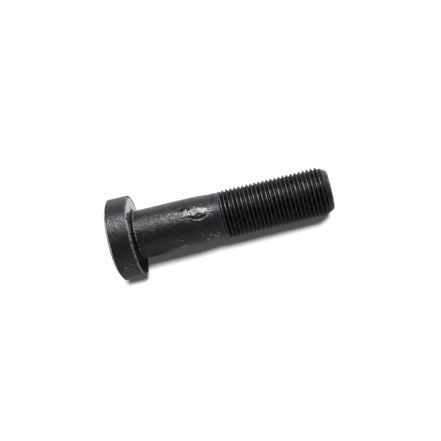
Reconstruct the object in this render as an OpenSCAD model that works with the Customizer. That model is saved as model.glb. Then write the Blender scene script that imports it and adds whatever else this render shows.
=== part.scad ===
// Wheel bolt: a plain round head, a smooth shank and a long fine-threaded end with a smooth point.
// It stands on its head: the axis is Z, the head's end face is z = 0 and the point is at the top.
// Millimetres. The bolt is headed, rolled and turned from one steel blank, so it is one solid.

/* [Head] */
// Diameter of the round head
head_d = 30.4; // [24:0.2:40]
// Thickness of the head, from its end face to its bearing face
head_t = 8.6; // [5:0.2:14]
// Width of the chamfer round the end face, measured across the axis
end_chamfer = 1.7; // [0.4:0.1:3]
// Height of the chamfer round the end face, measured along the axis
end_chamfer_h = 0.9; // [0.3:0.1:2]
// Small break on the edge of the bearing face
bearing_break = 0.3; // [0.1:0.05:0.6]

/* [Shank] */
// Diameter of the smooth shank next to the head
shank_d = 18; // [17.8:0.1:19]
// Radius of the fillet where the shank meets the bearing face
fillet_r = 0.8; // [0.3:0.1:1.5]
// Length under the head, from the bearing face to the end of the point
under_head = 72.3; // [60:0.1:110]

/* [Thread] */
// Outside diameter of the thread, over its crests
thread_d = 18; // [17.5:0.1:18.5]
// How far the thread climbs in one turn
pitch = 1.5; // [1.25:0.25:2]
// Distance from the bearing face to the start of the thread
thread_from = 31; // [20:0.5:40]
// Diameter of the blank that the thread is rolled on, seen just before the thread
blank_d = 17.1; // [16.9:0.1:17.3]
// Length of the slope from the shank down to the blank
blank_slope = 7; // [2:0.5:10]
// Length of the bare blank between that slope and the thread
blank_bare = 1.2; // [0.5:0.1:3]
// Turns over which the thread grows from the bare blank to its full depth
run_in_turns = 1.5; // [1:0.25:3]
// Facets in one turn of the thread
turn_facets = 34; // [24:2:44]

/* [Point] */
// Diameter of the flat end of the point
point_d = 14.1; // [12:0.1:15]
// Angle between the point's cone and the axis, in degrees
point_angle = 30; // [25:1:40]

/* [Hidden] */
head_r = head_d / 2;
shank_r = shank_d / 2;
thread_r = thread_d / 2;
blank_r = blank_d / 2;
point_r = point_d / 2;
bolt_l = head_t + under_head;
thread_z = head_t + thread_from;
blank_z = thread_z - blank_bare;
slope_z = blank_z - blank_slope;
fillet_z = head_t + fillet_r;

// Thread form: 60 degree flanks, a crest flat of an eighth of the pitch, the standard root depth
flank_angle = 30;
thread_depth = 0.6134 * pitch;
root_r = thread_r - thread_depth;
crest_flat = pitch / 8;
flank_run = thread_depth * tan(flank_angle);

// The point's cone starts at the crests; the threads fade out on it and its end is smooth
point_z = bolt_l - (thread_r - point_r) / tan(point_angle);
root_z = point_z + thread_depth / tan(point_angle);
tip_z = root_z + 0.1 * pitch;
tip_r = cone_r(tip_z);
function cone_r(z) = thread_r - (z - point_z) * tan(point_angle);

// The threaded body reaches a little into the plain body below and into the tip above
seat = 0.05;
seat_h = 0.5;
first_z = thread_z + 0.1;
turns = ceil((root_z - first_z) / pitch) + 1;
rows = 4 * turns;
last_z = first_z + turns * pitch;
squeeze = 0.5 * (bolt_l - tip_z) / (last_z - tip_z);
lid_z = tip_z + 0.75 * (bolt_l - tip_z);

// Half of the plain body's section, to the right of its axis
module body_section() {
    polygon([
        [0, 0],
        [head_r - end_chamfer, 0],
        [head_r, end_chamfer_h],
        [head_r, head_t - bearing_break],
        [head_r - bearing_break, head_t],
        [shank_r, head_t],
        [shank_r, slope_z],
        [blank_r, blank_z],
        [blank_r, thread_z],
        [0, thread_z]
    ]);
}

// Section of the fillet: a square corner with a quarter circle taken out
module fillet_section() {
    difference() {
        translate([shank_r - fillet_r, head_t - fillet_r])
            square([2 * fillet_r, 2 * fillet_r]);
        translate([shank_r + fillet_r, fillet_z])
            circle(r = fillet_r, $fn = 96);
    }
}

// How far the thread has grown at a number of turns from its start, from 0 to 1
function grown(turn) = min(1, turn / run_in_turns);

// One point of the thread at angle step i: corner 0 and 3 are the root's edges, 1 and 2 the crest's
function corner_lift(corner) =
    corner == 0 ? 0 : corner == 1 ? flank_run : corner == 2 ? flank_run + crest_flat : 2 * flank_run + crest_flat;
function corner_r(corner) = corner == 1 || corner == 2 ? thread_r : root_r;
function climbed(i, row) = floor(row / 4) + i / turn_facets;
function raw_z(i, row) = first_z + pitch * climbed(i, row) + corner_lift(row % 4);
function thread_pt_z(z) = z > tip_z ? tip_z + (z - tip_z) * squeeze : z;
function thread_pt_r(i, row, z) =
    min(blank_r - seat + (corner_r(row % 4) - blank_r + seat) * grown(climbed(i, row)), cone_r(z) - seat);
function ring_pt(i, r, z) = [r * cos(360 * i / turn_facets), r * sin(360 * i / turn_facets), z];
function thread_pt(i, row) =
    let (z = thread_pt_z(raw_z(i, row)))
        ring_pt(i, thread_pt_r(i, row, z), z);

// The threaded body: rows of corners climb round it, and after one turn each row meets the next thread's
module threaded_body() {
    n = turn_facets;
    floor_ring = [for (i = [0 : n - 1]) ring_pt(i, blank_r - seat, thread_z - seat_h)];
    thread_pts = [for (i = [0 : n - 1]) for (row = [0 : rows - 1]) thread_pt(i, row)];
    lid_ring = [for (i = [0 : n - 1]) ring_pt(i, cone_r(lid_z) - 2 * seat, lid_z)];
    at = function (i, row) n + (i % n) * rows + row + (i == n ? 4 : 0);
    lid = n + n * rows;
    sides = [
        for (i = [0 : n - 1]) for (row = [0 : (i == n - 1 ? rows - 6 : rows - 2)]) each [
            [at(i, row), at(i, row + 1), at(i + 1, row + 1)],
            [at(i, row), at(i + 1, row + 1), at(i + 1, row)]
        ]
    ];
    foot = [for (i = [0 : n - 2]) each [[i, at(i, 0), at(i + 1, 0)], [i, at(i + 1, 0), i + 1]]];
    head = [
        for (i = [0 : n - 2]) each [
            [at(i, rows - 1), lid + i, lid + i + 1],
            [at(i, rows - 1), lid + i + 1, at(i + 1, rows - 1)]
        ]
    ];
    // Where the first turn starts and the last one ends, the step of one pitch is closed
    start = n - 1;
    first_end = concat(
        [for (row = [0 : 3]) [at(start, 0), at(0, row + 1), at(0, row)]],
        [[at(start, 0), at(0, 0), 0], [at(start, 0), 0, start]]
    );
    last_end = concat(
        [for (row = [rows - 5 : rows - 2]) [at(0, rows - 1), at(start, row), at(start, row + 1)]],
        [[at(0, rows - 1), at(start, rows - 1), lid + start], [at(0, rows - 1), lid + start, lid]]
    );
    caps = [[for (i = [0 : n - 1]) i], [for (i = [n - 1 : -1 : 0]) lid + i]];
    polyhedron(
        points = concat(floor_ring, thread_pts, lid_ring),
        faces = concat(sides, foot, head, first_end, last_end, caps),
        convexity = 10
    );
}

module wheel_bolt() {
    color([0.07, 0.07, 0.08]) {
        rotate_extrude($fn = 144)
            union() {
                body_section();
                fillet_section();
            }
        threaded_body();
        translate([0, 0, tip_z])
            cylinder(r1 = tip_r, r2 = point_r, h = bolt_l - tip_z, $fn = 144);
    }
}

wheel_bolt();
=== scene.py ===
# %% [markdown]
# # A black steel wheel bolt
# The object is one wheel bolt: a round flat head, a smooth shank, and a long fine thread with a
# smooth point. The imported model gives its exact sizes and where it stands. This script dresses it:
# one finer mesh of the same form, a black oxide finish, white sheet and floor, lamps and a camera.
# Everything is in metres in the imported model's own frame: the bolt stands on its head, +Z is up.
# The bolt itself is drawn in millimetres, as in a workshop, and scaled when its mesh is built.

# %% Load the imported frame
import math

import bpy
import numpy as np
from mathutils import Matrix, Vector


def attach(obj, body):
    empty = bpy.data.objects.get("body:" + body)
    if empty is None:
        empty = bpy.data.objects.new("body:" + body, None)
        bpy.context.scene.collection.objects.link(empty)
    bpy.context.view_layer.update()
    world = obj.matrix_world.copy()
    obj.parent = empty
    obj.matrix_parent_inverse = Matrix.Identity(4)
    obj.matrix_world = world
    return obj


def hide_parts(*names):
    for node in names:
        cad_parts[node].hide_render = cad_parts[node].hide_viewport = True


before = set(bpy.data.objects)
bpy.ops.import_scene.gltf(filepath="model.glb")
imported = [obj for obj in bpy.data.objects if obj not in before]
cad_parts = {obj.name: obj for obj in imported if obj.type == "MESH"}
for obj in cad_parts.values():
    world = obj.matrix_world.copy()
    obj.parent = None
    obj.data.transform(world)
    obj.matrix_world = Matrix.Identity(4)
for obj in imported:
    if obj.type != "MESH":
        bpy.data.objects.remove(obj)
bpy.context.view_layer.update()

# %% [markdown]
# ## The camera
# The photograph looks at the bolt from the side, a little from the point's end, so that the face
# under the head shows as a thin ellipse. The camera was fitted to that ellipse, to the outlines of
# head and shank and to the point. It is rolled, because the photographed bolt lies on its side and
# this one stands: the roll puts the point at the right, rising a little. The distance was fitted
# as well, because a close camera with a wide lens makes the nearer end of a long part look larger.

# %% Camera at the photograph's angle
PHOTO_PX = 441
CAM_FOCAL_PX = 767.3
CAM_AT = Vector((0.0, -0.2798, 0.05755))
CAM_TILT = math.radians(-3.661)
CAM_SIDE = math.radians(0.356)
CAM_ROLL = math.radians(13.345)


def camera_axes(tilt, side, roll):
    """The camera's right, up and backward directions. Without the roll, right is the bolt's +Z."""
    level = math.cos(side)
    ahead = Vector((math.sin(side), level * math.cos(tilt), level * math.sin(tilt)))
    along = (Vector((0, 0, 1)) - ahead * ahead.z).normalized()
    across = along.cross(ahead)
    right = along * math.cos(roll) - across * math.sin(roll)
    up = along * math.sin(roll) + across * math.cos(roll)
    return right, up, -ahead


cam_data = bpy.data.cameras.new("camera")
cam_data.angle = 2 * math.atan(PHOTO_PX / 2 / CAM_FOCAL_PX)
cam = bpy.data.objects.new("camera", cam_data)
bpy.context.scene.collection.objects.link(cam)
axes = Matrix(camera_axes(CAM_TILT, CAM_SIDE, CAM_ROLL)).transposed().to_4x4()
cam.matrix_world = Matrix.Translation(CAM_AT) @ axes
bpy.context.scene.camera = cam
print("camera angle, degrees:", round(math.degrees(cam_data.angle), 1))

# %% [markdown]
# ## The bolt's section
# The real bolt is cold headed from wire: the head is upset, its edges are turned, the end of the
# shank is drawn down a little, and the thread is rolled onto that thinner end. A body like this is
# a section spun round an axis. The section is written as corners, and each corner gets a radius,
# because a sharp edge on steel always shows a thin bright line where it is rounded.

# %% Sizes in millimetres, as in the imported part
MM = 0.001
HEAD_R, HEAD_T, EDGE_BREAK = 15.2, 8.6, 0.3
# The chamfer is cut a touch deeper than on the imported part, as the photograph shows it
CHAMFER, CHAMFER_H = 1.8, 1.1
SHANK_R, FILLET = 9.0, 0.8
BLANK_R, SLOPE_Z, BLANK_Z, THREAD_Z = 8.55, 31.4, 38.4, 39.6
THREAD_R, PITCH, BOLT_L = 9.0, 1.5, 80.9
POINT_R, POINT_ANGLE = 7.05, math.radians(30)
ROOT_R = THREAD_R - 0.6134 * PITCH
THREAD_DEPTH = THREAD_R - ROOT_R
POINT_Z = BOLT_L - (THREAD_R - POINT_R) / math.tan(POINT_ANGLE)
print("the point's cone starts at, mm:", round(POINT_Z, 2))


# %% Round the corners of a section and fill its long steps
def rounded(corners, steps=5):
    """A line through (r, z, radius) corners, with an arc of that radius in place of each corner."""
    line = []
    for i, (r, z, radius) in enumerate(corners):
        if radius <= 0 or i in (0, len(corners) - 1):
            line.append((r, z))
            continue
        here = np.array((r, z))
        before = np.array(corners[i - 1][:2]) - here
        after = np.array(corners[i + 1][:2]) - here
        before, after = before / np.linalg.norm(before), after / np.linalg.norm(after)
        half = math.acos(np.clip(before @ after, -1, 1)) / 2
        inward = (before + after) / np.linalg.norm(before + after)
        middle = here + inward * radius / math.sin(half)
        start = here + before * radius / math.tan(half) - middle
        end = here + after * radius / math.tan(half) - middle
        turn = math.acos(np.clip(start @ end / radius ** 2, -1, 1))
        for k in range(steps + 1):
            a, b = math.sin((1 - k / steps) * turn), math.sin(k / steps * turn)
            line.append(tuple(middle + (start * a + end * b) / math.sin(turn)))
    return line


def filled(line, longest):
    """The same line with extra points, so that no step is longer than this."""
    out = [line[0]]
    for (r0, z0), (r1, z1) in zip(line, line[1:]):
        parts = max(1, math.ceil(math.hypot(r1 - r0, z1 - z0) / longest))
        out += [(r0 + (r1 - r0) * k / parts, z0 + (z1 - z0) * k / parts)
                for k in range(1, parts + 1)]
    return out


print("a square corner of radius 1 as points:", len(rounded([(0, 0, 0), (5, 0, 1), (5, 5, 0)])))

# %% [markdown]
# The rows of the section are close where something happens, on the edges and where the shank is
# scuffed, and far apart on the plain end face. The middle of each end face is one small polygon.
# Under the head the shank has a shallow groove; the dark line along it is painted shade.

# %% Head and shank as one line of (radius, height) points
CENTRE_R = 0.4
MARGIN = 0.8
END_CORNER, RIM_CORNER = (HEAD_R - CHAMFER, 0), (HEAD_R, CHAMFER_H)
END_ROUND, RIM_ROUND, BREAK_ROUND, NECK_ROUND, LIP_ROUND = 0.2, 0.25, 0.12, 0.5, 0.03
NECK_Z, NECK_IN = HEAD_T + 0.85, 0.05
SLOPE_ROUND, BLANK_ROUND = 3, 1.5
SCUFF_Z = 25.5

face_start = (HEAD_R - CHAMFER - MARGIN, 0)
face_end = (HEAD_R - MARGIN, HEAD_T)
shank_start = (SHANK_R, NECK_Z + 0.3)
end_line = filled([(CENTRE_R, 0), face_start], longest=2.5)
rim_line = filled(rounded([
    (*face_start, 0), (*END_CORNER, END_ROUND), (*RIM_CORNER, RIM_ROUND),
    (HEAD_R, HEAD_T - EDGE_BREAK, BREAK_ROUND), (HEAD_R - EDGE_BREAK, HEAD_T, BREAK_ROUND),
    (*face_end, 0)]), longest=0.28)
neck_line = filled(rounded([
    (*face_end, 0), (SHANK_R - NECK_IN, HEAD_T, NECK_ROUND),
    (SHANK_R - NECK_IN, NECK_Z - NECK_IN, 0), (SHANK_R, NECK_Z, LIP_ROUND),
    (*shank_start, 0)]), longest=0.6)
plain_line = filled([shank_start, (SHANK_R, SCUFF_Z)], longest=0.5)
scuffed_line = filled(rounded([
    (SHANK_R, SCUFF_Z, 0), (SHANK_R, SLOPE_Z, SLOPE_ROUND), (BLANK_R, BLANK_Z, BLANK_ROUND),
    (BLANK_R, THREAD_Z, 0)], steps=8), longest=0.24)
body_line = np.array(end_line + rim_line[1:] + neck_line[1:] + plain_line[1:] + scuffed_line[1:])
print("rings of head and shank:", len(body_line))

# %% [markdown]
# ## The thread
# A thread is a ridge that climbs one pitch in each turn. It can be cut with a Screw modifier, but
# the start on the blank and the fade on the point would then need booleans. Here the rows of points
# climb with the turn by themselves. After one turn a row meets the start of the next, so the seam
# joins row k to row k + one turn. The rolled form has 60 degree flanks, round roots, flat crests.

# %% One turn of the thread, as (height, radius) points
AROUND = 192
ROOT_ROUND, CREST_ROUND = 0.19, 0.05
ROOT_STEPS = (0, 32, 60)
root_arc = [(ROOT_ROUND * math.sin(a), ROOT_R + ROOT_ROUND * (1 - math.cos(a)))
            for a in map(math.radians, ROOT_STEPS)]
crest_z = PITCH / 2 - PITCH / 16
crest_arc = [(crest_z - CREST_ROUND * 0.6, THREAD_R - CREST_ROUND * 0.9),
             (crest_z + 0.012, THREAD_R - 0.008), (crest_z + CREST_ROUND, THREAD_R)]
half_turn = root_arc + crest_arc
turn_pts = np.array(half_turn + [(PITCH - h, r) for h, r in reversed(half_turn[1:])])
per_turn = len(turn_pts)

first_z = THREAD_Z + 0.1
fade_z = POINT_Z + THREAD_DEPTH / math.tan(POINT_ANGLE)
turns = math.ceil((fade_z - first_z) / PITCH)
angle_step = np.arange(AROUND) / AROUND
print("points a turn:", per_turn, " turns:", turns)


# %% [markdown]
# The thread grows out of the bare blank over its first turns, as a rolled thread does, and on the
# point its crests are cut off by the cone until only the smooth nose is left. Rows that would climb
# past the nose are squeezed together on the cone, so that every turn keeps the same rows.

# %% The climbing rows of the whole thread
RUN_IN_TURNS, RUN_IN_POWER = 1.6, 0.8
POINT_ROUND = 0.15


def cone_r(z):
    """Radius of the point's cone at height z."""
    return THREAD_R - (z - POINT_Z) * math.tan(POINT_ANGLE)


climb = np.repeat(np.arange(turns), per_turn)[:, None] + angle_step[None, :]
thread_z = first_z + PITCH * climb + np.tile(turn_pts[:, 0], turns)[:, None]
smooth_z = fade_z + 0.1
squeeze = 0.5 * (BOLT_L - smooth_z) / (thread_z.max() - smooth_z)
thread_z = np.where(thread_z > smooth_z, smooth_z + (thread_z - smooth_z) * squeeze, thread_z)
full_r = np.tile(turn_pts[:, 1], turns)[:, None]
grown = np.clip(climb / RUN_IN_TURNS, 0, 1) ** RUN_IN_POWER
thread_r = np.minimum(BLANK_R + (full_r - BLANK_R) * grown, cone_r(thread_z))
top_z = thread_z.max() + 0.15
point_line = filled(rounded([
    (cone_r(top_z), top_z, 0), (POINT_R, BOLT_L, POINT_ROUND), (CENTRE_R, BOLT_L, 0)]),
    longest=1.0)
print("last row reaches, mm:", round(float(thread_z.max()), 2), "of", BOLT_L)

# %% [markdown]
# ## One closed mesh
# Rings make the head and shank, climbing rows make the thread, and rings again make the point.
# Where the first turn starts and the last one ends, a fan closes the step of one pitch.


# %% Stack the rings and rows
def spin(line):
    """(r, z) points as rings: two arrays with one row a ring."""
    line = np.array(line)
    return np.repeat(line[:, :1], AROUND, 1), np.repeat(line[:, 1:], AROUND, 1)


body_r, body_z = spin(body_line)
tip_r, tip_z = spin(point_line)
all_r = np.vstack([body_r, thread_r, tip_r])
all_z = np.vstack([body_z, thread_z, tip_z])
rows_body, rows_thread, rows_all = len(body_r), len(thread_r), len(all_r)
print("rows:", rows_body, "+", rows_thread, "+", len(tip_r))

# %% Join rings, rows and fans into faces
spot = np.arange(rows_all * AROUND).reshape(rows_all, AROUND)
last = AROUND - 1
lo, hi = rows_body, rows_body + rows_thread - 1


def strip(low, high):
    """Quads between two rows of points that run all the way round."""
    return np.stack([low, np.roll(low, -1), np.roll(high, -1), high], 1).tolist()


faces = []
for k in range(rows_all - 1):
    quads = strip(spot[k], spot[k + 1])
    # Beside the thread the last quad of a row stays open for the seam
    faces += quads[:-1] if lo - 1 <= k <= hi else quads
for k in range(lo, hi - per_turn):
    above = k + per_turn
    faces.append([spot[k, last], spot[above, 0], spot[above + 1, 0], spot[k + 1, last]])
for k in range(per_turn):
    faces.append([spot[lo, last], spot[lo + k, 0], spot[lo + k + 1, 0]])
    faces.append([spot[hi, 0], spot[hi - k, last], spot[hi - k - 1, last]])
faces.append([spot[lo - 1, last], spot[lo - 1, 0], spot[lo, 0], spot[lo, last]])
faces.append([spot[hi, last], spot[hi, 0], spot[hi + 1, 0], spot[hi + 1, last]])
faces.append(spot[0][::-1].tolist())
faces.append(spot[-1].tolist())
print("faces:", len(faces))

# %% [markdown]
# ## Marks on the steel
# A bolt from stock is never a perfect spun form. Under the thread the shank has a scuffed patch,
# where the skin was dragged into glossy wrinkles, and there are a few small dents. The larger marks
# are moved in the mesh, because they catch the light from any side; the finest go in the material.
# The moves come from a small lattice noise, which gives the same values on every run.

# %% A repeatable noise
HASH_PRIMES = (73856093, 19349663, 83492791)
MIX_PRIME = 1274126177
HASH_TOP = 65535
SEED_STEP, SEED_START = 9176, 77


def lattice(points, seed=0):
    """Smooth noise from -1 to 1 at (n, 3) points: hashed whole numbers, blended between."""
    base = np.floor(points).astype(np.int64)
    part = points - base
    ease = part ** 3 * (part * (part * 6 - 15) + 10)
    total = np.zeros(len(points))
    for corner in range(8):
        step = np.array([(corner >> k) & 1 for k in range(3)])
        x, y, z = ((base + step) * np.array(HASH_PRIMES)).T
        mixed = x ^ y ^ z ^ (seed * SEED_STEP + SEED_START)
        mixed = (mixed ^ (mixed >> 13)) * MIX_PRIME
        value = ((mixed ^ (mixed >> 16)) & HASH_TOP) / (HASH_TOP / 2) - 1
        total += value * np.prod(np.where(step, ease, 1 - ease), axis=1)
    return total


def layered(points, size, layers=3, seed=0):
    """Noise with features of this size in millimetres, plus finer and weaker layers."""
    return sum(lattice(points * 2 ** k / size, seed + k) * 0.5 ** k for k in range(layers))


def soft_step(value, low, high):
    """0 below low, 1 above high, smooth between."""
    t = np.clip((value - low) / (high - low), 0, 1)
    return t * t * (3 - 2 * t)


def within(value, middle, half, fade):
    """1 near this middle, falling to 0 over the last stretch before half the width."""
    return soft_step(half - np.abs(value - middle), 0, fade)


print("noise at one spot:", lattice(np.array([[0.5, 0.25, 0.75]])).round(3))

# %% Where each point lies on the bolt
angle = 2 * math.pi * np.repeat(angle_step[None, :], rows_all, 0)


def placed(r, z):
    """Points from radii and heights, one row a ring."""
    return np.stack([r * np.cos(angle), r * np.sin(angle), z], 2).reshape(-1, 3)


spots = placed(all_r, all_z)
# Turn from the side that faces the camera, positive towards the picture's upper side
turn_deg = np.degrees(np.arctan2(-spots[:, 0], -spots[:, 1])).reshape(all_r.shape)
arc_mm = np.radians(turn_deg) * SHANK_R
on_body = np.zeros(all_r.shape, bool)
on_body[:rows_body] = True
on_shank = on_body & (all_z > HEAD_T + FILLET)


def steel_noise(size, layers, seed, at=spots):
    """Layered noise at every point of the mesh."""
    return layered(at, size, layers, seed).reshape(all_r.shape)


print("points:", len(spots), " of them on the shank:", int(on_shank.sum()))

# %% The scuffed patch: a ragged field of wrinkles
PATCH_ARC, PATCH_Z = 3.9, 32.4
PATCH_HALF_ARC, PATCH_HALF_Z = 2.5, 7.3
PATCH_FADE, RAGGED_SIZE, RAGGED_SHARE = 0.25, 3.0, 0.45
WRINKLE_MM, WRINKLE_SIZE, WRINKLE_LEVEL = 0.16, 1.7, 0.35
# The folds run along the shank, and a second noise bends them
WARP_MM, WARP_SIZE, FOLD_STRETCH = 1.3, 2.2, np.array([1, 1, 0.6])
ragged = steel_noise(RAGGED_SIZE, 3, seed=5)
away = np.maximum(np.abs(arc_mm - PATCH_ARC) / PATCH_HALF_ARC,
                  np.abs(all_z - PATCH_Z) / PATCH_HALF_Z)
patch = soft_step(1.0 + RAGGED_SHARE * ragged - away, 0.0, PATCH_FADE) * on_shank
patch *= soft_step(BLANK_Z - all_z, 0.0, PATCH_FADE)
warp = np.stack([layered(spots + 50, WARP_SIZE, 2, 11 + k) for k in range(3)], 1)
folds = np.abs(steel_noise(WRINKLE_SIZE, 3, seed=21, at=spots * FOLD_STRETCH + warp * WARP_MM))
wrinkles = (WRINKLE_LEVEL - folds) * WRINKLE_MM
print("patch points:", int((patch > 0.5).sum()))

# %% [markdown]
# Below the patch the tool that scuffed it left one bow-shaped ridge of dragged steel. Between the
# two the skin gets painted shade, a deep black that catches no light, and a torn strip above the
# patch is as black.

# %% The bow-shaped drag ridge, the painted shade of the hollow beside it and the torn strip
BOW_ARC, BOW_Z, BOW_BEND, BOW_HALF = 0.2, 33.1, 0.105, 0.26
DRAG_MM = 0.09
HOLLOW_TOP, TORN_ARC, TORN_HALF = 2.3, 5.6, 0.45
bow = BOW_ARC + BOW_BEND * (all_z - BOW_Z) ** 2
drag = np.exp(-((arc_mm - bow) / BOW_HALF) ** 2) * within(all_z, 32.9, 3.7, fade=1.2)
# The hollow is painted shade only; the mesh is not cut there
hollow = soft_step(HOLLOW_TOP + 0.7 * ragged - arc_mm, 0, 0.4)
hollow *= soft_step(arc_mm - bow, 0.3, 0.6)
hollow *= within(all_z, 33.6, 5.0, fade=0.8)
torn = soft_step(TORN_HALF + 0.5 * ragged - np.abs(arc_mm - TORN_ARC), 0, 0.3)
torn *= within(all_z, 28.6, 2.2, fade=0.6)
hollow = np.maximum(hollow, torn) * on_shank
print("hollow points:", int((hollow > 0.5).sum()))

# %% Small dents, each at (turn in degrees, height in mm, size in mm, depth in mm)
DENTS = [(-42, 24.7, 0.9, 0.07), (-31, 32.2, 0.8, 0.06), (-45, 36.4, 1.1, 0.07),
         (-50, 38.3, 0.8, 0.06), (-12, 21.4, 0.5, 0.04), (118, 19.0, 1.0, 0.07),
         (165, 28.5, 0.8, 0.06), (-120, 33.0, 1.0, 0.06)]
# A dent is a pit with a low lip round it, a little longer than wide
DENT_STRETCH, DENT_RAGGED = 0.8, 0.35
LIP_AT, LIP_SHARE = 1.1, 0.45
dents = np.zeros(all_r.shape)
for at_turn, at_z, size, deep in DENTS:
    away = np.hypot(np.radians(turn_deg - at_turn) * SHANK_R, (all_z - at_z) * DENT_STRETCH)
    shape = away / size + DENT_RAGGED * ragged
    pit, lip = np.exp(-(shape ** 2) * 2), np.exp(-((shape - LIP_AT) ** 2) * 6)
    dents += deep * (pit - LIP_SHARE * lip) * on_shank
print("deepest dent, mm:", round(float(dents.max()), 3))

# %% Move the points: patch, ridge, dents and a slight unevenness all over
WAVE_SIZE, WAVE_MM = 6.0, 0.012
RIPPLE_SIZE, RIPPLE_MM = 1.3, 0.03
SHANK_LIMIT = 9.3
below_thread = soft_step(THREAD_Z - all_z, 0.5, 2)
uneven = steel_noise(WAVE_SIZE, 2, seed=31) * WAVE_MM * on_body
uneven += steel_noise(RIPPLE_SIZE, 2, seed=47) * RIPPLE_MM * on_shank * below_thread
moved = patch * wrinkles + DRAG_MM * drag * on_shank - dents
limit = np.where(on_body & (all_z <= HEAD_T), HEAD_R, SHANK_LIMIT)
all_r = np.minimum(all_r + moved + uneven * (all_r > 1), limit)
print("largest move, mm:", round(float(np.abs(moved).max()), 3))

# %% [markdown]
# ## Wear
# Wear shows first on edges: the rim of the face under the head, the chamfer and the crests of the
# thread. Each point keeps how much it is worn, dark or scuffed, and the material breaks that up.
# Much of the dark is painted shade, and a few scuffs are painted glints on the highlights. The worn
# line lies a little inside the rim; beyond it, on the lit upper side, the outer ring of the face
# gets painted shade as dark as the rim, in place of a wider break of the edge.


# %% How near each row lies to an edge
def near(corner, reach):
    """1 on a ring of the section, falling to 0 within this distance."""
    return np.exp(-(np.hypot(all_r - corner[0], all_z - corner[1]) / reach) ** 2)


RIM_REACH, TIP_REACH, NECK_REACH = 0.4, 0.24, 0.13
TIP_WEAR, NECK_WEAR, RING_WEAR = 0.7, 0.5, 0.35
FACE_FROM_R, RING_WIDE, RING_FULL = 10.2, 1.4, 0.8
upper_side = soft_step(turn_deg, 30, 60) * soft_step(150 - turn_deg, 0, 30)
on_face = on_body & (np.abs(all_z - HEAD_T) < 0.05) & (all_r > FACE_FROM_R)
# On the upper side the ring is painted shade; elsewhere it is a worn band
ring = on_face * soft_step(all_r, HEAD_R - RING_WIDE, HEAD_R - RING_FULL)
bearing = on_face * (1 - ring)
rim_edge = near((HEAD_R - EDGE_BREAK, HEAD_T), RIM_REACH) * (1 - 0.75 * upper_side)
tip_edge = TIP_WEAR * near((POINT_R, BOLT_L), TIP_REACH)
neck_edge = NECK_WEAR * np.exp(-((all_z - NECK_Z) / NECK_REACH) ** 2) * (all_r < FACE_FROM_R)
edge = np.maximum.reduce([rim_edge, tip_edge, neck_edge, RING_WEAR * ring * (1 - upper_side)])
chamfer = on_body & (all_z > 0.02) & (all_z < CHAMFER_H - 0.15) & (all_r > HEAD_R - CHAMFER)
print("worn edge points:", int((edge > 0.5).sum()), " chamfer points:", int(chamfer.sum()))

# %% The crests, roots and flanks of the thread, and the other dark places
thread_rows = slice(rows_body, rows_body + rows_thread)
in_turn = np.tile(turn_pts[:, 1], turns)[:, None]
CREST_BAND, ROOT_BAND, FLANK_BAND = 0.04, 0.05, 0.03
NECK_ROOT_R = 9.55
crest, root, flank = np.zeros((3, *all_r.shape))
crest[thread_rows] = soft_step(in_turn, THREAD_R - CREST_BAND, THREAD_R - 0.002)
root[thread_rows] = soft_step(ROOT_R + ROOT_BAND - in_turn, 0.0, ROOT_BAND)
# The flanks are black skin and also painted shade in the grooves of the thread
flank[thread_rows] = soft_step(THREAD_R - 0.01 - in_turn, 0.0, FLANK_BAND)
flank *= soft_step(all_z, THREAD_Z + 0.5, THREAD_Z + 2 * PITCH)
on_point = soft_step(all_z, smooth_z - 0.6, smooth_z - 0.1)
crest, root, flank = (mask * (1 - on_point) for mask in (crest, root, flank))

# Painted shade, gathered in the dark mask: the corner under the head, the grooves of the thread over
# their black skin, the line between chamfer and rim, the hollow by the patch and the upper part of
# the face's outer ring. The torn strip in it is a black mark.
neck = on_body & (all_z > HEAD_T - 0.01) & (all_z < NECK_Z - 0.04) & (all_r < NECK_ROOT_R)
dark = np.maximum.reduce([
    flank, neck, near(RIM_CORNER, 0.2), hollow * 0.9, ring * upper_side * 0.85])
# The bare blank and the nose are a smoother, slightly violet black
blank = soft_step(all_z, BLANK_Z - 0.6, BLANK_Z) * soft_step(THREAD_Z + 1.5 - all_z, 0, 1)
blank = np.maximum(blank, soft_step(all_z, smooth_z - 0.5, smooth_z) * 0.6)
print("crest points:", int((crest > 0.5).sum()), " dark points:", int((dark > 0.5).sum()))

# %% Scuffs and painted glints, as (turn in degrees, height, half width, half height, strength)
# First two: painted sparkle on shank and head highlights; last: painted glint on the nose
SCUFFS_AND_GLINTS = [(24, 24.5, 12, 10.0, 0.35), (24, 3.5, 12, 5.0, 0.35), (-42, 25.3, 12, 2.6, 1.0),
          (-47, 36.6, 15, 3.0, 1.0), (-60, 37.0, 13, 4.5, 0.9), (-58, 25.5, 12, 4.0, 0.9),
          (-31, 32.4, 5, 1.6, 0.7), (-48, 5.5, 12, 3.0, 0.4), (120, 22.0, 20, 5.0, 0.3),
          (-130, 30.0, 25, 4.0, 0.35), (165, 4.5, 30, 5.0, 0.3), (75, 33.0, 14, 3.0, 0.3),
          (-85, 16.0, 14, 3.0, 0.3), (27, 80.0, 9, 1.1, 1.0)]
SCUFF_AND_GLINT_REACH, SCUFF_AND_GLINT_FADE = 1.25, 0.7
scuff = np.zeros(all_r.shape)
for at_turn, at_z, half_turn_deg, half_z, strength in SCUFFS_AND_GLINTS:
    off_turn = (turn_deg - at_turn + 180) % 360 - 180
    away = np.hypot(off_turn / half_turn_deg, (all_z - at_z) / half_z)
    scuff = np.maximum(scuff, strength * soft_step(SCUFF_AND_GLINT_REACH - away, 0.0, SCUFF_AND_GLINT_FADE))
print("scuffs:", len(SCUFFS_AND_GLINTS), " points in them:", int((scuff > 0.1).sum()))
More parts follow.
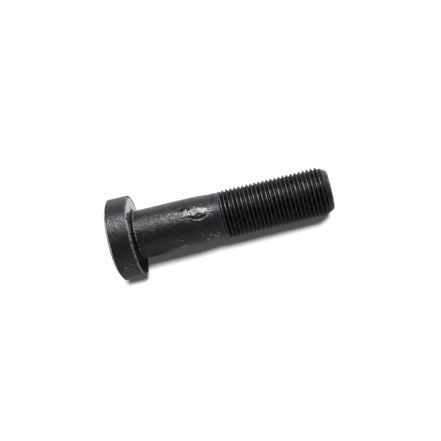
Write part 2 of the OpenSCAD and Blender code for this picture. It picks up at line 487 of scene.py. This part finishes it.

# %% [markdown]
# The points and faces become one Blender mesh. Every mask goes with it as a number on each point,
# which a material can read under its name. The surface is shaded smooth, except where it turns by
# more than a set angle, so that the edges of head and thread stay crisp. Then the bolt is hung on
# the imported root body, and the imported solid that it takes the place of is hidden.

# %% Build the object
SHARP_TURN = math.radians(38)
masks = {"edge": edge, "crest": crest, "patch": patch, "bearing": bearing, "dark": dark,
         "root": root, "chamfer": chamfer, "blank": blank, "scuff": scuff}
mesh = bpy.data.meshes.new("bolt_body")
mesh.from_pydata((placed(all_r, all_z) * MM).tolist(), [], [list(map(int, f)) for f in faces])
mesh.validate()
for name, values in masks.items():
    layer = mesh.attributes.new(name, "FLOAT", "POINT")
    layer.data.foreach_set("value", np.asarray(values, np.float32).ravel())
mesh.polygons.foreach_set("use_smooth", [True] * len(mesh.polygons))
mesh.set_sharp_from_angle(angle=SHARP_TURN)
bolt = bpy.data.objects.new("bolt_body", mesh)
bpy.context.scene.collection.objects.link(bolt)
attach(bolt, "root")
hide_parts("wheel_bolt")
print("triangles:", sum(len(p.vertices) - 2 for p in mesh.polygons))

# %% [markdown]
# ## Shader maths
# Materials are written as sums on sockets. A small class wraps one output of a node, and each
# operator adds the node that does it: Math for numbers and Vector Math for vectors and colours.
# Every other node comes from one function, which sets the node up and then fills its sockets.


# %% A socket that can be added and multiplied
class Sock:
    """One node output. Sums on it add nodes to its tree."""

    def __init__(self, tree, out):
        self.tree, self.out = tree, out

    def wide(self):
        """True for a vector or a colour, which a Math node would turn into one number."""
        return self.out.type in ("VECTOR", "RGBA")

    def combine(self, kind, a, b):
        wide = any(isinstance(v, Sock) and v.wide() for v in (a, b))
        return node(self.tree, "VectorMath" if wide else "Math", {"operation": kind}, {0: a, 1: b})

    def __add__(self, other): return self.combine("ADD", self, other)
    def __radd__(self, other): return self.combine("ADD", other, self)
    def __sub__(self, other): return self.combine("SUBTRACT", self, other)
    def __rsub__(self, other): return self.combine("SUBTRACT", other, self)
    def __mul__(self, other): return self.combine("MULTIPLY", self, other)
    def __rmul__(self, other): return self.combine("MULTIPLY", other, self)
    def __abs__(self): return node(self.tree, "Math", {"operation": "ABSOLUTE"}, {0: self})


def node(tree, kind, settings=None, inputs=None, out=0):
    """Adds a shader node, sets it up first, then fills its sockets with values or links."""
    new = tree.nodes.new("ShaderNode" + kind)
    for name, value in (settings or {}).items():
        setattr(new, name, value)
    for name, value in (inputs or {}).items():
        if isinstance(value, Sock):
            tree.links.new(value.out, new.inputs[name])
        elif isinstance(value, (tuple, list)) and new.inputs[name].type == "RGBA":
            new.inputs[name].default_value = tuple(value) + (1,) * (4 - len(value))
        elif new.inputs[name].type == "VECTOR" and isinstance(value, (int, float)):
            new.inputs[name].default_value = (value,) * 3
        else:
            new.inputs[name].default_value = value
    return Sock(tree, new.outputs[out]) if new.outputs else None


# %% Helpers that every material here uses
def blank_material(name):
    """A material with an empty node tree."""
    made = bpy.data.materials.new(name)
    made.use_nodes = True
    made.node_tree.nodes.clear()
    return made, made.node_tree


def between(value, start, end, at_start=0.0, at_end=1.0):
    """A smooth change of a number as value goes from start to end, held outside."""
    return node(value.tree, "MapRange", {"interpolation_type": "SMOOTHSTEP"}, {
        "Value": value, "From Min": start, "From Max": end, "To Min": at_start, "To Max": at_end})


def window(value, rise_from, rise_to, fall_from, fall_to):
    """1 in the middle of a stretch of value, 0 outside it, with a soft start and end."""
    return between(value, rise_from, rise_to) * between(value, fall_from, fall_to, 1.0, 0.0)


def part_of(vector, axis):
    """One of the three numbers of a vector."""
    return node(vector.tree, "SeparateXYZ", {}, {0: vector}, axis)


def blend(factor, first, second):
    """From the first colour to the second as the factor goes from 0 to 1."""
    return node(factor.tree, "Mix", {"data_type": "RGBA"}, {0: factor, 6: first, 7: second}, 2)


# %% [markdown]
# ## The black finish
# Black oxide is a thin dark skin on the steel, kept under a film of oil. It is not paint: the light
# comes off it with a soft, slightly cool shine, stronger towards the edges. The skin is uneven, so
# roughness and colour drift in patches of a few millimetres, with a fine grain on top. It could be
# one plain dark material, but then head, shank and thread would all look like new plastic.

# %% Noises of the skin, from slow drift to fine specks
steel, tree = blank_material("black_oxide_steel")
place = node(tree, "TexCoord", out="Object")


def painted(name):
    """The value that the mesh carries under this name."""
    return node(tree, "Attribute", {"attribute_name": name}, {}, "Fac")


def noise(scale, detail, rough, at=place, twist=0.0):
    """Noise of this scale on the bolt, from 0 to 1."""
    return node(tree, "TexNoise", {}, {
        "Vector": at, "Scale": scale, "Detail": detail, "Roughness": rough, "Distortion": twist})


drift = noise(260.0, 3.0, 0.6)
dimple = noise(430.0, 2.5, 0.55)
creased = noise(620.0, 4.0, 0.6, twist=1.6)
blotch = noise(700.0, 3.0, 0.55)
speck = noise(1700.0, 2.0, 0.5)
grain = noise(1800.0, 3.0, 0.6)
# Drawn out along the bolt, the same kind of noise gives short strokes in place of specks
stroke = noise(2300.0, 2.0, 0.5, at=place * (1.0, 1.0, 0.3))
print("nodes so far:", len(tree.nodes))

# %% Places on the bolt: the turn from the camera's side and the height, in mm on the shank
x_mm, y_mm, z_mm = (part_of(place, axis) * (1 / MM) for axis in "XYZ")
arc = node(tree, "Math", {"operation": "ARCTAN2"}, {0: x_mm * -1, 1: y_mm * -1}) * SHANK_R
rise = z_mm - BOW_Z
off_bow = abs(arc - BOW_ARC - rise * rise * BOW_BEND)
fold = (1 - between(off_bow, 0.05, 0.3)) * (1 - between(abs(rise + 0.2), 2.8, 3.6))
beyond_head = between(z_mm, 8.0, 9.0)
on_nose = between(z_mm, 79.0, 80.0)
low_side = 1 - between(arc, -2.0, 0.0)
print("nodes so far:", len(tree.nodes))

# %% [markdown]
# The masks of the mesh are smooth, and real wear is not. Each one is multiplied by a noise, so that
# the worn line on the rim breaks into beads and the scuffs and painted glints into specks, or into
# strokes on the low side. Where steel is bare, and in the painted glints, the skin gives way to a
# lighter metal; in dark places, mostly painted shade, it stays black.
# The pairs of numbers below are the values of a noise at which a mark starts and is complete.

# %% Break the masks up
crease = 1 - between(abs(creased - 0.5), 0.008, 0.034)
broken = between(speck, 0.42, 0.56)
patch_mask, bearing_mask, blank_mask = painted("patch"), painted("bearing"), painted("blank")
dark_mask, chamfer_mask, scuff_and_glint_mask = painted("dark"), painted("chamfer"), painted("scuff")
crest_mask, root_mask = painted("crest"), painted("root")
edge_worn = painted("edge") * between(blotch, 0.32, 0.46) * (0.1 + broken * 0.9)
crest_worn = crest_mask * (0.35 + broken * 0.65)
fleck_form = between(speck, 0.54, 0.62) * (1 - low_side) + between(stroke, 0.54, 0.64) * low_side
fleck = scuff_and_glint_mask * fleck_form * between(dimple, 0.42, 0.56)
glossy_film = patch_mask * (1 - crease) * (1 - dark_mask)
blotched = between(blotch, 0.3, 0.6)
# Bare steel where worn, and in the painted glints that come in through the fleck
worn = (edge_worn * 1.7 + crest_worn * 0.3 + root_mask * broken * 0.14 + fleck * 1.3
        + fold * broken * 0.8 + chamfer_mask * (0.4 + blotched * 0.6))
print("nodes so far:", len(tree.nodes))

# %% Colour: black skin, violet blank, deep black for painted shade and the torn strip, bare steel for wear and painted glints
SKIN_DARK, SKIN_LIGHT = (0.005, 0.0053, 0.006), (0.010, 0.0103, 0.0115)
BLANK_BLACK, DEEP_BLACK = (0.010, 0.010, 0.017), (0.005, 0.005, 0.005)
BARE_STEEL = (0.45, 0.455, 0.47)
skin = blend(drift, SKIN_DARK, SKIN_LIGHT)
skin = blend(dark_mask, blend(blank_mask, skin, BLANK_BLACK), DEEP_BLACK)
colour = blend(worn, skin, BARE_STEEL)
print("nodes so far:", len(tree.nodes))

# %% [markdown]
# A black that must not shine, as on the flanks of the thread and in the hollows, is made metallic:
# a metal mirrors only in its own colour, and this colour is nearly black. Mostly this black is
# painted shade, in the grooves, corners, hollows and creases. The glossy film on the patch and on
# the face under the head is a clear coat instead, which mirrors in white.

# %% Gloss: where the skin is smooth, metallic or coated
rough = (0.08 + (1 - beyond_head) * 0.05 + drift * 0.2 + dimple * 0.34 + blank_mask * 0.05
         - on_nose * 0.1 - glossy_film * 0.15 - bearing_mask * 0.22
         + dark_mask * (1 - root_mask) * 0.25)
# The dark mask and the patch's creases get unshining black metal, mostly painted shade
metal = (worn * 0.6 + dark_mask * 0.9 + patch_mask * crease * 0.5 + crest_worn * 0.4
         + root_mask * 0.25 + blank_mask * 0.25)
coat = glossy_film * 0.5 + bearing_mask * blotched * 0.55
print("nodes so far:", len(tree.nodes))

# %% Relief of the skin, and the finished material
BUMP_STRENGTH, BUMP_MM = 0.9, 0.2
calm = ((0.6 + beyond_head * 0.4) * (1 - blank_mask * 0.8) * (1 - crest_mask * 0.7)
        * (1 - bearing_mask * 0.6))
relief = (grain * 0.8 + blotch * 0.7 + dimple * 1.0 + scuff_and_glint_mask * speck * 0.8) * calm
relief = relief + fold * 0.5 - patch_mask * crease * 0.6
bump = node(tree, "Bump", {}, {
    "Strength": BUMP_STRENGTH, "Distance": BUMP_MM * MM, "Height": relief})
shader = node(tree, "BsdfPrincipled", {}, {
    "Base Color": colour, "Metallic": metal, "Roughness": rough, "IOR": 1.5, "Normal": bump,
    "Coat Weight": coat, "Coat Roughness": 0.1, "Coat IOR": 1.8})
node(tree, "OutputMaterial", {}, {"Surface": shader})
mesh.materials.append(steel)
print("nodes of the finish:", len(tree.nodes))

# %% [markdown]
# ## Floor and sheet
# The bolt stands on a white floor. In the photograph it lies on a white sheet, so a second white
# plane stands where that sheet would be: it touches the rim of the head, leans in towards the point
# and catches the soft shadow along the bolt. Both are stage. The floor is seen by the camera alone.
# The sheet is seen by the camera and in the bolt's own gloss, since the low side of the
# photographed bolt mirrors it. Neither lights the bolt otherwise or cuts off its light.


# %% A white plane of the stage
def stage_plane(name, centre, normal, half, material, mirrored=False):
    """A square plane, seen by the camera and, if mirrored, in reflections."""
    normal = Vector(normal).normalized()
    upright = Vector((0, 0, 1)) if abs(normal.z) < 0.9 else Vector((0, 1, 0))
    side = normal.cross(upright).normalized()
    other = normal.cross(side)
    corners = ((-1, -1), (1, -1), (1, 1), (-1, 1))
    pts = [Vector(centre) + side * a * half + other * b * half for a, b in corners]
    data = bpy.data.meshes.new(name)
    data.from_pydata([tuple(p) for p in pts], [], [(0, 1, 2, 3)])
    if data.polygons[0].normal.dot(normal) < 0:
        data.flip_normals()
    data.materials.append(material)
    made = bpy.data.objects.new(name, data)
    bpy.context.scene.collection.objects.link(made)
    made.visible_diffuse = made.visible_transmission = made.visible_shadow = False
    made.visible_glossy = mirrored
    print("stage plane:", name)
    return made


def paper_surface(diffuse, glow):
    """White paper: what the lamps light on it, plus a glow of this grey."""
    lit = node(tree, "BsdfDiffuse", {}, {"Color": diffuse})
    shine = node(tree, "Emission", {}, {"Color": glow, "Strength": 1.0})
    return node(tree, "AddShader", {}, {0: lit, 1: shine})


def show(surface, hidden):
    """The surface, see-through where hidden is 1."""
    clear = node(tree, "BsdfTransparent")
    mixed = node(tree, "MixShader", {}, {0: hidden, 1: surface, 2: clear})
    node(tree, "OutputMaterial", {}, {"Surface": mixed})


# %% The floor, open behind the head so that the head's shadow on the sheet runs on without a step
FLOOR_GREY, FLOOR_GLOW = (0.45, 0.45, 0.45), (0.9, 0.9, 0.9)
OPEN_X, OPEN_Y = (0.006, 0.008, 0.03, 0.032), (-0.003, 0.012)
floor_mat, tree = blank_material("white_floor")
floor_place = node(tree, "TexCoord", out="Object")
floor_x, floor_y = (part_of(floor_place, axis) for axis in "XY")
opening = window(floor_x, *OPEN_X) * between(floor_y, *OPEN_Y)
below = node(tree, "NewGeometry", out="Backfacing")
show(paper_surface(FLOOR_GREY, FLOOR_GLOW), opening * (1 - below) + below)
floor = stage_plane("floor", (0, 0, 0), (0, 0, 1), 3.0, floor_mat)

# %% [markdown]
# The camera sees the sheet as plain white away from the bolt and as lit paper close to it, so only
# the shadow shows. Reflections see the sheet with painted shade: duller near the bolt, darkest in
# the corner under the head and under the shank, where the real bolt takes the light off the paper.

# %% The sheet, from the rim of the head leaning in towards the point
SHEET_LEAN, SHEET_UP = 0.055, Vector((-0.25, -0.964, 0)).normalized()
PLAIN_FROM, DIM_FROM = (0.0166, 0.0190), (0.006, 0.014)
CORNER_ALONG, CORNER_ACROSS = (0.0065, 0.0085, 0.013, 0.019), (-0.001, 0.006)
UNDER_ACROSS = (0.007, 0.009, 0.013, 0.018)
PAPER_NEAR, PAPER_FAR = (0.22, 0.22, 0.22), (0.09, 0.09, 0.09)
SHADE_GLOW, PLAIN_GLOW = 0.056, 0.94
CORNER_SHADE, UNDER_SHADE = 0.9, 0.5
sheet_mat, tree = blank_material("white_sheet")
sheet_place = node(tree, "TexCoord", out="Object")
across, along = (part_of(sheet_place, axis) for axis in "XZ")
seen = node(tree, "LightPath", out="Is Camera Ray")
plain = between(across, *PLAIN_FROM) * seen
# For reflections the paper near the bolt and in the corners is darker: painted shade
dim = plain + between(across, *DIM_FROM) * (1 - seen)
corner = (window(along, *CORNER_ALONG) * between(across, *CORNER_ACROSS)
          * (1 - seen) * CORNER_SHADE)
under = window(across, *UNDER_ACROSS) * (1 - seen) * UNDER_SHADE
open_part = (1 - corner) * (1 - under)
paper = blend(dim, PAPER_NEAR, PAPER_FAR) * open_part
sheet_glow = (SHADE_GLOW + plain * PLAIN_GLOW) * open_part
show(paper_surface(paper, sheet_glow), node(tree, "NewGeometry", out="Backfacing"))
sheet_normal = (SHEET_UP - Vector((0, 0, SHEET_LEAN))).normalized()
touch = (-SHEET_UP * HEAD_R + Vector((0, 0, HEAD_T - EDGE_BREAK))) * MM
sheet = stage_plane("sheet", touch, sheet_normal, 0.3, sheet_mat, mirrored=True)

# %% [markdown]
# ## Light
# The world is a light tent: white behind the bolt, with softer white at its low side and above, and
# dark where the camera stands. A black part is drawn by what it mirrors, so the tent makes most of
# the picture. One large soft lamp gives the long highlight. That highlight lies about 23 degrees
# round the shank towards the upper side, and a mirror turns light by twice its own angle, so the
# lamp stands twice as far round. A sun that lights nothing but the sheet casts the soft shadow.

# %% The light tent
world = bpy.data.worlds.new("light_tent")
bpy.context.scene.world = world
world.use_nodes = True
tree = world.node_tree
tree.nodes.clear()
heading = node(tree, "TexCoord", out="Generated")
sky_x, sky_y, sky_z = (part_of(heading, axis) for axis in "XYZ")
behind_bolt = between(sky_y, -0.1, 0.5, 0.115, 1.0) * between(sky_x, -0.1, 0.6, 1.0, 0.5)
low_wall = between(sky_x, 0.5, 1.0, 0.0, 0.62)
roof = between(sky_z, 0.5, 0.85, 0.0, 0.7) * between(sky_x, -0.6, 0.1, 1.0, 0.15)
tent = behind_bolt + low_wall + roof
seen = node(tree, "LightPath", out="Is Camera Ray")
tent_light = node(tree, "Background", {}, {
    "Color": (1, 1, 1), "Strength": tent + (1 - tent) * seen})
node(tree, "OutputWorld", {}, {"Surface": tent_light})
print("nodes of the tent:", len(tree.nodes))

# %% Two lamps
LAMP_AIM = Vector((0, 0, 0.04))
HIGHLIGHT_TURN = math.radians(23.25)
KEY_DISTANCE, KEY_POWER, KEY_COLOUR = 0.6, 5.6, (0.95, 0.975, 1.0)
KEY_WIDTH, KEY_LENGTH, KEY_RISE = 0.25, 0.6, 0.12
SUN_FROM, SUN_POWER, SUN_SPREAD = (-0.306, -0.952, 0.20), 15.0, math.radians(12)


def lamp(name, kind, towards, distance, power, **settings):
    """A lamp in this direction from the bolt's middle, aimed back at it."""
    data = bpy.data.lights.new(name, kind)
    data.energy = power
    for key, value in settings.items():
        setattr(data, key, value)
    made = bpy.data.objects.new(name, data)
    towards = Vector(towards).normalized()
    made.location = LAMP_AIM + towards * distance
    made.rotation_euler = towards.to_track_quat("Z", "Y").to_euler()
    bpy.context.scene.collection.objects.link(made)
    return made


def light_only(light, *receivers):
    """Links a lamp to the objects it may light."""
    group = bpy.data.collections.new(light.name + "_lights")
    for item in receivers:
        group.objects.link(item)
    light.light_linking.receiver_collection = group
    print(light.name, "lights", [item.name for item in receivers])


key_turn = 2 * HIGHLIGHT_TURN
key_from = (-math.sin(key_turn), -math.cos(key_turn), KEY_RISE)
key = lamp("key_softbox", "AREA", key_from, KEY_DISTANCE, KEY_POWER,
           shape="RECTANGLE", size=KEY_WIDTH, size_y=KEY_LENGTH, color=KEY_COLOUR)
sheet_sun = lamp("sheet_sun", "SUN", SUN_FROM, 1.0, SUN_POWER, angle=SUN_SPREAD)
light_only(sheet_sun, sheet)
light_only(key, bolt, floor)
bpy.context.scene.view_settings.view_transform = "Standard"
